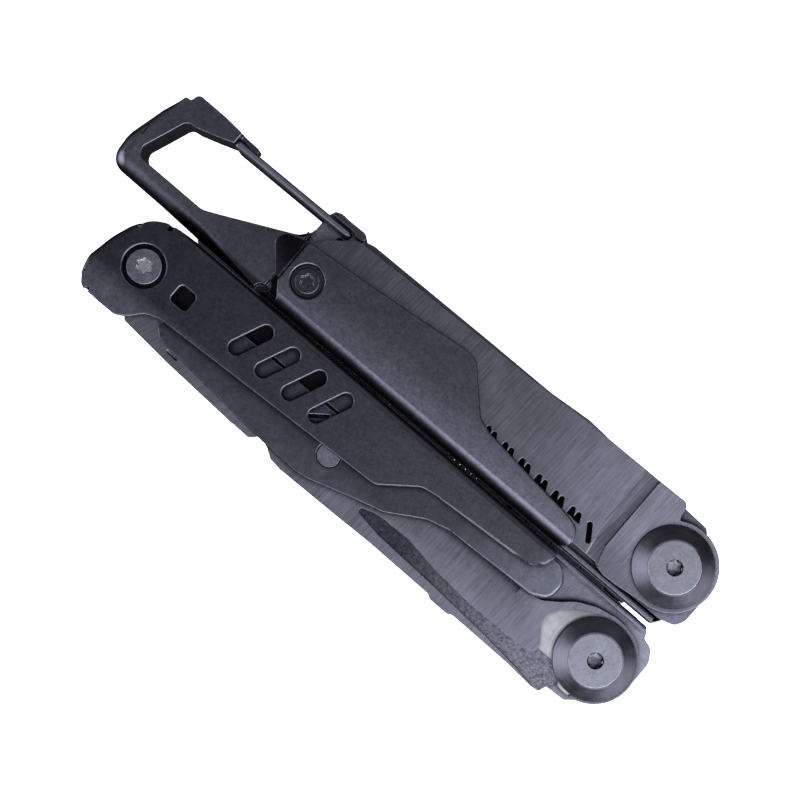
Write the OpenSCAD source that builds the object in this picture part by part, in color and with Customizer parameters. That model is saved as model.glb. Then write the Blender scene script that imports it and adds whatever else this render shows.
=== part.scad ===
// Folding pliers multi tool: two folded sheet handles, needle-nose jaws,
// four outside-opening blades, four end tools and a snap hook on one handle.
// Drawn closed, lying flat. X runs from the snap hook to the jaw pivots,
// Y across the two handles, Z through the thickness.

/* [Overall layout] */
// Distance of each handle pivot from the middle line
pivot_y = 9.4; // [9.3:0.05:9.6]
// X position of the jaw rivet, measured from the handle pivots
rivet_x = -13.5; // [-14:0.1:-13]
// Height of the outer cover face above the middle plane
cover_top = 9.4; // [9.3:0.1:9.8]
// Height of the pivot screw heads above the middle plane
head_top = 9.9; // [9.8:0.1:10.2]

/* [Sheet and blades] */
// Half width of the inside of each handle channel
channel_half = 4.6; // [4.6:0.05:4.7]
// Thickness of the channel sheet
sheet_t = 1.0; // [0.8:0.1:1.0]
// Thickness of each outside blade
blade_t = 1.8; // [1.4:0.1:1.8]
// Thickness of the lock liners
liner_t = 0.8; // [0.6:0.1:0.8]
// Thickness of the covers
cover_t = 0.9; // [0.7:0.1:0.9]

/* [Pivots] */
// Radius of the hollow handle pivot axles
axle_r = 2.5; // [2.2:0.1:2.6]
// Outer radius of the cone washers
washer_r = 6.5; // [6:0.1:6.6]
// Radius of the flat pivot screw heads
head_r = 4.2; // [3.8:0.1:4.2]
// Running clearance on every pin, measured on the radius
run_c = 0.05; // [0.03:0.01:0.08]

/* [Jaws] */
// Half thickness of the jaws
jaw_half = 4.5; // [4.3:0.05:4.5]
// Radius of the lapped joint at the rivet
boss_r = 8; // [7.5:0.1:8]
// Radius of the jaw rivet
rivet_r = 3; // [2.5:0.1:3.2]
// Number of fine grip teeth near the jaw tips
grip_teeth = 10; // [6:1:10]

/* [Saw] */
// Number of paired saw gullets
saw_pairs = 9; // [4:1:9]
// Distance between two pairs of gullets
saw_pitch = 3.6; // [3.4:0.1:3.8]

/* [Hidden] */
$fn = 48;

// heights of the layers above the middle plane
wall0 = channel_half;
wall1 = wall0 + sheet_t;
blade0 = wall1 + 0.1;
blade1 = blade0 + blade_t;
liner0 = blade1 + 0.1;
liner1 = liner0 + liner_t;
cover0 = cover_top - cover_t;

// inner rails of the handles, measured from the middle line at their left and right ends
ra0 = 0.1; ra1 = 0.42;
rb0 = 0.28; rb1 = 0.38;
ra = function(x) ra0 + (ra1 - ra0) * (x + 76.4) / 79.7;
rb = function(x) rb0 + (rb1 - rb0) * (x + 88.8) / 92.1;

// points where the screws go through
A = [0, pivot_y];
B = [0, -pivot_y];
R = [rivet_x, 0];
S = [-71.6, 6.2];
E = [-92.2, -8.35];
G = [-72, 15.85];

// the finished part stands on its lowest face, centred under its box
x_min = -108.1; x_max = 7.3;
y_min = -19.7; y_max = 18.93;
shift = [-(x_min + x_max) / 2, -(y_min + y_max) / 2, head_top];

function unit(v) = v / norm(v);
// corner points of a round corner of radius r
function round1(p0, p1, p2, r, n) = r <= 0 ? [p1] :
  let (a = unit(p0 - p1), b = unit(p2 - p1),
       g = acos(max(-1, min(1, a * b))))
  g > 178 ? [p1] :
  let (t0 = r / tan(g / 2), tm = min(t0, 0.49 * norm(p0 - p1), 0.49 * norm(p2 - p1)),
       q = tm * tan(g / 2), c = p1 + unit(a + b) * (q / sin(g / 2)),
       s = p1 + a * tm, e = p1 + b * tm,
       u = atan2(s.y - c.y, s.x - c.x), v = atan2(e.y - c.y, e.x - c.x),
       d = (v - u + 540) % 360 - 180)
  [for (i = [0:n]) c + q * [cos(u + d * i / n), sin(u + d * i / n)]];
// outline with rounded corners, each corner given as [x, y, r]
function rp(q, n = 6) = let (k = len(q)) [for (i = [0:k - 1])
  each round1([q[(i + k - 1) % k].x, q[(i + k - 1) % k].y], [q[i].x, q[i].y],
              [q[(i + 1) % k].x, q[(i + 1) % k].y], q[i].z, n)];
// six-lobed socket outline
function star(r) = [for (i = [0:47]) let (a = i * 7.5)
  r * (0.86 + 0.14 * cos(6 * a)) * [cos(a), sin(a)]];

module plate(q, z0, z1, n = 6) translate([0, 0, z0]) linear_extrude(z1 - z0) polygon(rp(q, n));
module hole(p, r, z0, z1) translate([p.x, p.y, z0]) cylinder(r = r, h = z1 - z0);
module ring(p, ro, ri, z0, z1) difference() {
  hole(p, ro, z0, z1);
  hole(p, ri, z0 - 1, z1 + 1);
}
module both() { children(); mirror([0, 0, 1]) children(); }
module place() translate(shift) children();
// removes the sharp outside corner of a fold that runs from (x0, y0) to (x1, y1) at height z
module fold_round(x0, x1, y0, y1, side, z, r) translate([x0, y0, z]) rotate([0, 0, atan2(y1 - y0, x1 - x0)]) difference() {
  translate([-1, side > 0 ? -1 : -r, -r]) cube([x1 - x0 + 2, r + 1, r + 1]);
  translate([-2, side * (r - 0.012), -(r - 0.012)]) rotate([0, 90, 0]) cylinder(r = r, h = x1 - x0 + 4);
}
// low rail with a rounded inner edge that stands on a channel wall, from (x0, y0) to (x1, y1)
module rail(x0, x1, y0, y1, side) translate([x0, y0, 0]) rotate([0, 0, atan2(y1 - y0, x1 - x0)]) rotate([90, 0, 90])
  linear_extrude(norm([x1 - x0, y1 - y0])) polygon(rp([[side * 0.04, wall1 - 0.4, 0], [side * 0.04, 6.8, 0.55], [side * 0.9, 6.8, 0.12], [side * 0.9, wall1 - 0.4, 0]], 8));
// stadium-shaped slot between two points
module slot2(p, q, w, z0, z1) {
  d = q - p; l = norm(d);
  translate([p.x, p.y, z0]) rotate([0, 0, atan2(d.y, d.x)]) union() {
    translate([0, -w / 2, 0]) cube([l, w, z1 - z0]);
    cylinder(d = w, h = z1 - z0);
    translate([l, 0, 0]) cylinder(d = w, h = z1 - z0);
  }
}

// ---------- jaws ----------
// the parting line between the jaws steps from one side of the middle to the other at mid height,
// so the tips stay in line and the closed jaws show no gap
step = 0.15;
function jaw_nose(y) = [[-13.5, y, 0], [-50.1, y, 0],
  [-50.4, -1.5, 1.1], [-49.7, -2.6, 0.8], [-42, -4.2, 8], [-32, -6.3, 10], [-24, -8.0, 4], [-18.6, -9.1, 2], [-16.4, -9.3, 0.5], [-15.6, -7.5, 0], [-13.5, -6, 0]];
function jaw_arm(y) = [[2, 15.6, 0], [-3.5, 15.2, 3], [-8.7, 11.6, 3], [-10.8, 9.3, 2], [-11.3, 7.3, 0], [-18, 3, 0], [-13.5, -2, 0],
  [-6.3, y, 0], [-1.9, y, 0.3], [-1.3, 2.6, 1.2], [2, 6, 0]];
module jaw_teeth(y, d, x0, n, pitch, z0, z1) for (i = [0:n - 1]) translate([x0 - i * pitch, y, z0])
  linear_extrude(z1 - z0) polygon([[-0.38 * pitch, 0.3], [0, -d], [0.38 * pitch, 0.3]]);
module jaw() difference() {
  union() {
    hole(A, 6.8, -jaw_half, jaw_half);
    plate(jaw_arm(-0.1), 0.05, jaw_half);
    plate(jaw_arm(0.14), -jaw_half, 0.05);
    plate(jaw_nose(step), 0.05, jaw_half);
    plate(jaw_nose(-step - 0.04), -jaw_half, 0.05);
    hole(R, boss_r, -jaw_half, jaw_half);
  }
  // lap: the other jaw fills the upper half of the joint
  hole(R, boss_r + 0.1, -0.05, jaw_half + 1);
  hole(R, rivet_r + run_c, -jaw_half - 1, 1);
  hole(A, axle_r + run_c, -jaw_half - 1, jaw_half + 1);
  // fine grip teeth near the tip, between smooth side lands, and coarse teeth behind them; the other jaw's teeth sit half a pitch along
  jaw_teeth(step, 0.28, -39.6, grip_teeth, 1, 0.05, 2.2);
  jaw_teeth(-step - 0.04, 0.28, -40.1, grip_teeth, 1, -2.2, 0.05);
  jaw_teeth(step, 0.3, -31.6, 5, 1.15, 0.05, 3);
  jaw_teeth(-step - 0.04, 0.3, -32.17, 5, 1.15, -3, 0.05);
  // the gripping section behind the tip is narrower than the rest of the jaw
  both() plate([[-37.6, 1, 0], [-37.2, -1.4, 1.2], [-25.0, -1.4, 1.2], [-24.4, 1, 0]], 1.9, jaw_half + 1);
  // tapered nose, thinner towards the tip
  both() translate([-50.7, -12, 2.9]) rotate([0, -4.6, 0]) translate([-4, 0, 0]) cube([24, 14, 6]);
  // cutting edges beside the joint
  translate([-30.4, 0.55, 0]) rotate([45, 0, 0]) translate([0, -0.8, -0.8]) cube([7.6, 1.6, 1.6]);
}
module jaw_a() color("#3a3b40") jaw();
module jaw_b() color("#3a3b40") mirror([0, 0, 1]) mirror([0, 1, 0]) jaw();
module jaw_rivet() color("#55565c") union() {
  hole(R, rivet_r, -jaw_half, jaw_half);
}

// ---------- handle A ----------
wall_a = [[-76.4, ra0, 0.6], [-76.4, 10.4, 1], [-68, 11.3, 1], [-63.5, 13.2, 2], [-59.5, 15.2, 2], [-12, 15.2, 1],
  [-8, 16.6, 2], [-4.4, 17.6, 0.6], [0.4, 17.4, 0.6], [1.5, 16.3, 0.8], [4.3, 15.5, 4], [6.3, 12.8, 6], [7.3, 9, 10],
  [7.3, 4.2, 2.6], [6.4, 2.6, 1.6], [4.4, 2.0, 0.6], [3.9, 1.15, 0.3], [3.3, ra1, 0.2]];
module handle_a_channel() color("#303136") difference() {
  union() {
    both() plate(wall_a, wall0, wall1, 12);
    // outer web that joins the two walls
    translate([-58, 14.2, -wall0]) cube([46, 1.0, 2 * wall0]);
    // low inner rails
    both() rail(-76.2, 3.1, ra(-76.2), ra(3.1), 1);
  }
  hole(A, axle_r + 0.02, -10, 10);
  hole(S, 1.22, -10, 10);
  // bend relief at the cover's end
  both() hole([-76.6, 1.5], 1.0, wall0 - 1, 8);
}
cover_a = [[-75.3, ra(-75.3), 0], [-75.3, 11.0, 0.4], [-73, 11.2, 4], [-65, 11.95, 0], [-55, 13, 20], [-46.3, 14.15, 3],
  [-43.9, 13.95, 2.2], [-37.5, 7.5, 3], [-35, 6.75, 3], [-25, 5.6, 0], [-18, 5.0, 4], [-15.2, 4.3, 2], [-14.4, 2.4, 1.6], [-14.8, ra(-14.8), 0.4]];
module cover_a_solid() difference() {
  union() {
    plate(cover_a, cover0, cover_top, 10);
    plate([[-74.4, ra(-74.4), 0], [-15.2, ra(-15.2), 0], [-15.2, 1.4, 0], [-74.4, 1.4, 0]], 6.85, cover0 + 0.05);
  }
  fold_round(-76, -14, ra(-76), ra(-14), 1, cover_top, 2.3);
  hole(S, 2.65, 8, 11);
  // slanted corner where the fold begins
  translate([0, 0, 2]) linear_extrude(20) polygon([[-77, -1], [-73.5, -1], [-73.7, 1.2], [-75.3, 3.5], [-77, 3.6]]);
}
module handle_a_cover_front() color("#2b2c31") cover_a_solid();
module handle_a_cover_back() color("#2b2c31") mirror([0, 0, 1]) cover_a_solid();
liner_a = [[-66, 1.5, 1], [-66, 10.6, 2], [-47, 12.6, 4], [-44.6, 12.2, 2], [-38, 5.7, 3], [-18, 4.0, 1], [-16.2, 3.2, 1], [-16.2, 1.5, 0.6]];
module liner_a_solid() difference() {
  plate(liner_a, liner0, liner1);
  slot2([-60, 4.6], [-20, 3.0], 0.5, 7, 9);
}
module handle_a_liner_front() color("#34353a") liner_a_solid();
module handle_a_liner_back() color("#34353a") mirror([0, 0, 1]) liner_a_solid();

module axle() ring([0, 0], axle_r, 1.65, -liner0 + 0.05, liner0 - 0.05);
module cone_washer() rotate_extrude($fn = 96) polygon([[1.7, liner0], [washer_r, liner0], [washer_r, liner0 + 0.35],
  [head_r + 0.12, head_top - 0.04], [head_r + 0.04, head_top - 0.04], [head_r + 0.04, 8.9], [1.7, 8.9]]);
module pivot_screw() difference() {
  union() {
    translate([0, 0, 8.9]) cylinder(r = head_r, h = head_top - 8.9, $fn = 96);
    translate([0, 0, 3]) cylinder(r = 1.63, h = 6);
  }
  translate([0, 0, head_top - 1.7]) linear_extrude(2) polygon(star(1.32));
  translate([0, 0, head_top - 0.16]) cylinder(r1 = 1.16, r2 = 1.36, h = 0.2);
}
module handle_a_axle() color("#6a6b70") translate([A.x, A.y, 0]) axle();
module handle_b_axle() color("#6a6b70") translate([B.x, B.y, 0]) axle();
module handle_a_washer_front() color("#6f6d72") translate([A.x, A.y, 0]) cone_washer();
module handle_a_washer_back() color("#6f6d72") translate([A.x, A.y, 0]) mirror([0, 0, 1]) cone_washer();
module handle_b_washer_front() color("#6f6d72") translate([B.x, B.y, 0]) cone_washer();
module handle_b_washer_back() color("#6f6d72") translate([B.x, B.y, 0]) mirror([0, 0, 1]) cone_washer();
module handle_a_pivot_screws() color("#7c7a80") translate([A.x, A.y, 0]) both() pivot_screw();
module handle_b_pivot_screws() color("#7c7a80") translate([B.x, B.y, 0]) both() pivot_screw();

// ---------- snap hook ----------
hook = [[-76.5, 0.15, 0], [-89, 0.15, 10], [-97, 0.42, 10], [-107.8, 0.5, 4.6], [-108.12, 5.6, 6], [-106.3, 12.1, 8], [-104.85, 15.87, 0.5],
  [-103.94, 15.97, 0.3], [-103.5, 17.5, 0.9], [-98, 17.5, 6], [-94.5, 17.25, 0.4], [-94.45, 15.2, 0.5], [-97.1, 14.25, 1], [-100.6, 13.13, 2],
  [-102.2, 12.95, 1.4], [-103.64, 9.09, 4], [-105.0, 5.6, 1.2], [-104.3, 4.13, 1.2], [-100.6, 4.13, 0], [-91.6, 4.13, 3], [-88.97, 5.34, 6],
  [-83.4, 8.08, 0], [-77.6, 10.9, 2.2], [-76.2, 12.6, 1.6], [-76.15, 13.2, 0], [-76.15, 12, 0]];
module carabiner_body() color("#2f3035") difference() {
  union() {
    // loop, full width
    plate(hook, -5.5, 5.5, 12);
    // root of the loop beside the handle
    plate([[-76.6, 0.15, 0], [-76.6, 12.4, 0], [-76.9, 11.4, 0], [-78.5, 10.4, 0], [-78.5, 0.15, 0]], -5.5, 5.5);
    // rib that rests beside the other handle
    plate([[-89.6, 0.5, 0], [-88.6, -0.42, 0], [-64.3, -0.42, 0], [-64.3, 2, 0], [-76, 2, 0]], -4.4, 4.4);
    plate([[-65, -0.42, 0], [-50.9, -0.42, 0], [-51.0, 1.2, 0], [-51.4, 2, 0], [-65, 2, 0]], -2.2, 2.2);
    // fork that holds the closed jaw tips in line
    both() plate([[-52.4, -0.42, 0], [-49.5, -0.42, 0.3], [-49.5, 0.9, 0.3], [-52.4, 0.9, 0]], 3.1, 4.1);
    plate([[-52.4, -0.42, 0], [-51.2, -0.42, 0], [-51.2, 0.9, 0], [-52.4, 0.9, 0]], -4.1, 4.1);
    // tail clamped between the channel walls
    plate([[-77, 1.0, 0], [-77, 11.0, 0], [-75.4, 11.2, 0.5], [-62.5, 10.4, 1], [-62.5, 1.0, 0.6]], -4.5, 4.5);
    // gate lug
    plate([[-76.15, 10.6, 0], [-76.15, 16.2, 0.6], [-75.6, 17.6, 1], [-69.6, 17.7, 1], [-69.0, 16.6, 0.8], [-69.0, 12.8, 1.4], [-67.5, 10.6, 0]], -4.0, 4.0);
    // raised rim of the lug over the gate ends
    both() plate([[-75.7, 16.75, 0.3], [-75.0, 17.7, 0.8], [-69.7, 17.8, 0.7], [-69.0, 16.9, 0.4], [-69.5, 16.4, 0.3], [-70.6, 16.35, 0.4], [-71.2, 16.75, 0.4]], 3.9, 5.5);
    // latch tongue over the gate's end
    plate([[-95, 16.45, 0], [-95, 17.25, 0], [-91.2, 17.15, 0.4], [-90.8, 16.75, 0.3], [-91.2, 16.45, 0.2]], -2.6, 2.6);
    // ramps that rise to the cover's end
    both() hull() {
      translate([0, 0, 5.0]) linear_extrude(0.5) polygon(rp([[-75.4, 3.1, 0], [-79.95, 8.1, 1.0], [-79.3, 9.75, 1.6], [-77, 10.65, 3], [-75.4, 10.95, 0]], 8));
      translate([-75.6, 3.9, 5]) cube([0.2, 6.9, 4.25]);
    }
  }
  hole(S, 1.25, -10, 10);
  hole(G, 0.7, -10, 10);
  both() hole([-72.1, 14.2], 0.55, 3.2, 6);
  // relief notches at the root of the loop
  both() hole([-76.5, 0.4], 1.1, 4.3, 10);
  // room for the ends of the channel walls
  both() translate([-76.45, -1, 4.5]) cube([4, 12.4, 1.16]);
}
module carabiner_spacers() color("#26272b") both() ring(S, 2.6, 1.25, wall1 + 0.02, 8.3);
module small_screw(hr, z0, z1, sr, zt, tr) difference() {
  union() {
    translate([0, 0, z0]) cylinder(r = hr, h = z1 - z0);
    translate([0, 0, zt]) cylinder(r = sr, h = z0 - zt + 0.1);
  }
  translate([0, 0, z1 - 0.6]) linear_extrude(2) polygon(star(tr));
}
module carabiner_screws() color("#2b2c30") translate([S.x, S.y, 0]) both() small_screw(1.95, 8.32, 9.1, 1.2, 1.0, 1.15);
wire_r = 0.65;
module gate_wire() color("#3c3d42") translate([G.x, G.y, 0]) union() {
  both() translate([0, 0, 4.75]) rotate([0, 0, 180.8]) {
    rotate([0, 90, 0]) cylinder(r = wire_r, h = 21.7, $fn = 32);
    sphere(r = wire_r, $fn = 32);
    translate([21.7, 0, 0]) sphere(r = wire_r, $fn = 32);
  }
  // bent ends that turn in the lug
  both() translate([0, 0, 1.6]) cylinder(r = wire_r, h = 3.15, $fn = 32);
  // cross bar that rests behind the nose
  rotate([0, 0, 180.8]) translate([21.7, 0, -4.75]) cylinder(r = wire_r, h = 9.5, $fn = 32);
}

// ---------- blades of handle A ----------
saw_q = [[-74.9, 9.0, 0.6], [-74.85, 11.3, 1.4], [-73.6, 13.1, 3], [-71.6, 14.6, 3], [-69.8, 16.15, 1.4], [-60, 16.55, 0], [-50, 16.95, 0], [-35, 17.35, 0],
  [-25, 17.95, 0], [-10, 18.2, 0], [-4.9, 18.35, 0.8], [-4.3, 17.6, 0.4], [-4.1, 16.2, 1], [-2.6, 14, 0], [1, 9.4, 0], [0.6, 2.2, 0],
  [-5, 1.5, 3], [-7.4, 1.35, 2], [-9.1, 1.75, 0.5], [-9.6, 2.15, 0.3], [-15.6, 2.15, 0.8], [-16.6, 3.6, 1],
  [-36, 4.9, 0], [-60, 5.6, 0], [-62.5, 6.2, 2], [-65.5, 8.7, 2]];
module saw_blade() color("#46474c") difference() {
  union() {
    plate(saw_q, blade0, blade1);
    hole(A, 7.25, blade0, blade1);
  }
  hole(A, axle_r + run_c, 0, 10);
  // paired slanted gullets
  for (i = [0:saw_pairs - 1]) for (j = [0, 1]) {
    p = [-17.6 - i * saw_pitch + j * 1.25, 6.2 + i * 0.2 - j * 0.12];
    plate([[p.x - 0.38, p.y - (i == 0 ? 1.1 : 3.4), 0], [p.x - 0.36, p.y + 0.34, 0.36], [p.x + 0.26, p.y + 0.34, 0.3], [p.x + (i == 0 ? 0.95 : 2.1), p.y - (i == 0 ? 1.1 : 3.4), 0]], blade0 - 1, blade1 + 1);
  }
  slot2([-14.05, 6.05], [-12.6, 3.95], 0.8, blade0 - 1, blade1 + 1);
  // stop groove with a sloped left side, ending at the step of the tang
  translate([0, 20, 0]) rotate([90, 0, 0]) linear_extrude(15) polygon([[-12.7, blade1], [-11.9, blade1 - 0.4], [-10.1, blade1 - 0.4], [-10.1, blade1 + 1], [-12.7, blade1 + 1]]);
  plate([[-12.0, 5.1, 0], [-10.1, 5.1, 0], [-10.0, 4.9, 0], [-9.7, 3.6, 0], [-9.0, 1.6, 0], [-9.0, 0, 0], [-11.2, 0, 0]], blade1 - 0.4, blade1 + 1);
}
file_q = [[-73.6, 8.8, 0.6], [-73.8, 14.0, 1.6], [-71.5, 16.9, 2.4], [-68, 17.75, 2], [-45, 18.15, 0], [-31, 18.3, 2], [-26, 18.75, 2], [-23.5, 18.95, 2], [-20.4, 18.8, 2], [-15, 18.3, 2],
  [-10, 18.1, 0], [-5.0, 18.2, 0.8], [-4.3, 17.7, 0.4], [-4.2, 16.5, 0.6], [-3, 14, 0], [0, 9.4, 0],
  [0.6, 2.2, 0], [-6.4, 1.5, 2], [-8.9, 1.6, 0.7], [-9.9, 4.8, 1], [-13, 6.6, 2], [-64, 6.6, 1], [-66.5, 8.8, 1]];
module file_blade() color("#46474c") mirror([0, 0, 1]) difference() {
  union() {
    plate(file_q, blade0, blade1);
    hole(A, 7.25, blade0, blade1);
  }
  hole(A, axle_r + run_c, 0, 10);
  slot2([-62, 16.6], [-50, 16.6], 1.2, blade1 - 0.5, blade1 + 1);
  translate([0, 0, blade1 - 0.25]) linear_extrude(1) polygon([[-12.4, 20], [-10.5, 20], [-10.3, 4], [-12.2, 4]]);
}

// ---------- handle B ----------
wall_b = [[-88.8, -rb0, 0], [-91.5, -0.6, 0], [-93.8, -0.95, 3], [-96.0, -2.6, 5], [-98.2, -8, 10], [-99.0, -12.6, 4], [-98.8, -15.2, 2.6], [-98.0, -16.95, 1.0], [-95.4, -16.95, 1], [-90.6, -16.2, 1.4],
  [-88.6, -14.6, 2], [-86, -13.2, 2], [-64, -14.2, 0], [-60, -15.2, 1], [-12, -15.2, 1], [-8, -16.6, 2], [-3.2, -17.6, 0.6],
  [0.8, -17.4, 0.6], [2.1, -16.3, 0.8], [4.7, -14.5, 4], [6.5, -11.5, 6], [7.3, -8.2, 10], [7.2, -4.4, 2.8], [5.9, -2.4, 2], [4.2, -2.0, 0.6], [3.9, -1.15, 0.3], [3.3, -rb1, 0.2]];
module handle_b_channel() color("#303136") difference() {
  union() {
    both() plate(wall_b, wall0, wall1, 12);
    translate([-58, -15.2, -wall0]) cube([46, 1.0, 2 * wall0]);
    both() rail(-88.6, 3.1, -rb(-88.6), -rb(3.1), -1);
  }
  hole(B, axle_r + 0.02, -10, 10);
  hole(E, 2.02, -10, 10);
  both() plate([[-86.8, -5.9, 1], [-82.1, -5.9, 1], [-82.1, -10.4, 1], [-86.8, -10.4, 1]], wall0 - 1, 8);
}
cover_b = [[-88.8, -rb0, 0], [-91.4, -0.5, 6], [-93.6, -0.85, 5], [-95.7, -2.0, 6], [-97.7, -4.6, 7], [-98.95, -8.0, 14], [-99.85, -12.5, 3], [-99.3, -14.9, 3.4],
  [-97.6, -16.95, 1.8], [-94, -17, 1], [-90.9, -16.95, 1.8], [-89.2, -16.0, 2], [-87.4, -13.9, 3], [-85, -13.0, 4], [-60, -11.75, 0], [-50, -11.3, 0], [-43.4, -10.95, 2.4], [-37.6, -6.5, 2.4], [-34.5, -6.0, 4],
  [-20, -5.0, 3], [-17, -4.7, 2.4], [-15.0, -3.2, 2.2], [-14.9, -rb(-14.9), 0.4]];
// the part of the cover's outline that carries the end skirt
skirt_o = [for (p = rp(cover_b, 10)) if (p.x < -93.2 && (p.y > -16.3 || p.x < -97.2)) p];
module cover_b_solid() difference() {
  union() {
    plate(cover_b, cover0, cover_top, 10);
    plate([[-88.8, -rb0, 0], [-15.2, -rb(-15.2), 0], [-15.2, -1.4, 0], [-88.8, -1.4, 0]], 6.85, cover0 + 0.05);
    // end skirt, bent down towards the channel
    translate([0, 0, wall1 + 0.05]) linear_extrude(cover0 - wall1)
      polygon(concat(skirt_o, [for (i = [len(skirt_o) - 1:-1:0]) skirt_o[i] + 0.95 * unit([-91.5, -8.8] - skirt_o[i])]));
  }
  fold_round(-89.5, -14, -rb0, -rb(-14), -1, cover_top, 1.3);
  hole(E, 3.4, 8, 11);
  // bend reliefs at both ends of the skirt
  plate([[-93.5, 0.5, 0], [-93.5, -1.75, 0.45], [-92.45, -1.75, 0.45], [-92.45, 0.5, 0]], 5, 11);
  plate([[-97.1, -18, 0], [-97.1, -16.3, 0.35], [-96.3, -16.3, 0.35], [-96.3, -18, 0]], 5, 11);
  // square window
  plate([[-85.95, -6.65, 0.7], [-82.85, -6.65, 0.7], [-82.85, -9.65, 0.7], [-85.95, -9.65, 0.7]], 8, 11);
  // four slanted slots
  for (i = [0:3]) slot2([-71.25 + i * 5.38, -3.95], [-73.3 + i * 5.38, -8.65], 2.3, 8, 11);
}
module handle_b_cover_front() color("#2b2c31") cover_b_solid();
module handle_b_cover_back() color("#2b2c31") mirror([0, 0, 1]) cover_b_solid();
liner_b = [[-84.7, -13, 0.3], [-84.6, -14.2, 0.8], [-83.4, -15.3, 1.4], [-78, -15.8, 4], [-70, -16.4, 0], [-64.5, -16.9, 0], [-54.5, -17.35, 2], [-52, -17.0, 3],
  [-45, -14.8, 0], [-39.6, -13.3, 5], [-33.8, -9.8, 3], [-30, -8.8, 4], [-20, -8.5, 0], [-14, -8.3, 2], [-11.3, -6.9, 2.4], [-11.0, -3.6, 2.4], [-13.2, -1.6, 1.6],
  [-90, -1.6, 2], [-95.2, -3.1, 3], [-97.6, -8.2, 4], [-97.6, -14.5, 2], [-92, -15.0, 2], [-88.4, -12.9, 2], [-86, -12.6, 1]];
module liner_b_solid() difference() {
  plate(liner_b, liner0, liner1);
  hole(E, 1.6, 7, 9);
  // slit that frees the lock leaf
  slot2([-79, -6.2], [-43, -6.2], 0.3, 7, 9);
  slot2([-43, -6.2], [-38.6, -3.4], 0.3, 7, 9);
  slot2([-38.6, -3.4], [-17, -3.1], 0.3, 7, 9);
  slot2([-17, -3.1], [-16.2, -1.4], 0.3, 7, 9);
  // openings beside the leaf
  plate([[-76, -2.6, 0.4], [-76, -6.2, 0.3], [-69.2, -6.2, 0.3], [-69.2, -2.6, 0.4]], 7, 9);
  plate([[-64.6, -2.6, 0.4], [-64.6, -6.2, 0.3], [-58.5, -6.2, 0.3], [-58.5, -2.6, 0.4]], 7, 9);
  slot2([-58.0, -9.4], [-55.6, -7.6], 0.5, 7, 9);
  // seat of the stop rivet
  hole([-51.7, -12], 1.95, 7, 9);
  // square window below the cover's
  plate([[-86.1, -6.4, 0.9], [-82.7, -6.4, 0.9], [-82.7, -9.8, 0.9], [-86.1, -9.8, 0.9]], 7, 11);
}
module handle_b_liner_front() color("#34353a") liner_b_solid();
module handle_b_liner_back() color("#34353a") mirror([0, 0, 1]) liner_b_solid();
module handle_b_liner_rivets() color("#3c3d42") both() hole([-51.7, -12], 1.9, liner0, liner1 + 0.05);

// ---------- blades of handle B ----------
tang_b = [[-4.8, -18.95, 0.8], [-3.3, -18.85, 0.6], [-2.8, -17.4, 0.5], [-2.2, -16.4, 0], [0, -9.4, 0], [1.0, -2.35, 0], [-1.6, -2.3, 4], [-4.8, -2.95, 6], [-7.8, -4.35, 6], [-9.9, -6.2, 3]];
knife_q = concat([[-59.7, -17.4, 0.8], [-58.2, -18.4, 1], [-56, -18.65, 1], [-45, -18.45, 0], [-38, -18.25, 0], [-26, -18.45, 0], [-10, -18.6, 0]], tang_b,
  [[-12.2, -7.8, 2], [-14.2, -8.1, 1], [-15.6, -6.4, 0.8], [-18, -6.2, 0], [-50, -6.5, 20], [-64, -8.2, 20], [-74.6, -12.2, 0.3], [-66, -14.8, 6]]);
module knife_blade() color("#46474c") difference() {
  union() {
    plate(knife_q, blade0, blade1);
    hole(B, 7.0, blade0, blade1);
  }
  hole(B, axle_r + run_c, 0, 10);
  // long nail groove
  plate([[-44.6, -15.5, 0.7], [-40, -14.1, 2], [-34, -13.9, 3], [-28, -14.8, 4], [-20, -15.4, 0], [-8.9, -15.15, 0.9], [-7.75, -14.5, 0.6], [-7.75, -13.8, 0], [-2.0, -13.8, 0], [-2.0, -19.5, 0], [-4.8, -18.78, 0],
    [-8.8, -18.2, 0], [-15, -17.6, 0], [-25, -17.0, 6], [-38, -16.5, 3]], blade1 - 0.45, blade1 + 1);
  // recess around the washer
  plate([[-7.75, -13.8, 0], [-7.75, -13.3, 0.5], [-9.9, -10.6, 2.4], [-10.1, -8.8, 1.6], [-9.2, -7.2, 2.4], [-7.2, -5.35, 4], [-4.75, -3.85, 6], [-2.1, -2.9, 0], [0, -2.9, 0], [4, -9, 0], [0, -18, 0], [-3, -14.6, 0], [-5, -13.8, 0]], blade1 - 0.55, blade1 + 1);
  // ground bevel along the cutting edge
  translate([-76, -6.45, 6.6]) rotate([0, 0, 0]) both() rotate([-14, 0, 0]) translate([0, -3.6, 0.06]) cube([60.2, 6, 3]);
}
serr_q = concat([[-59.7, -17.4, 0.8], [-58.2, -18.4, 1], [-56, -18.65, 1], [-45, -18.45, 0], [-26.4, -18.5, 0.4], [-24.4, -19.7, 1.2], [-20.8, -19.7, 1.2], [-18.8, -18.55, 0.4], [-10, -18.6, 0]], tang_b,
  [[-12.2, -7.8, 2], [-14.2, -8.1, 1], [-15.6, -6.4, 0.8], [-18, -6.0, 0], [-60, -6.0, 6], [-68.5, -9.0, 8], [-71.5, -13, 3], [-66.5, -15.8, 4]]);
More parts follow.
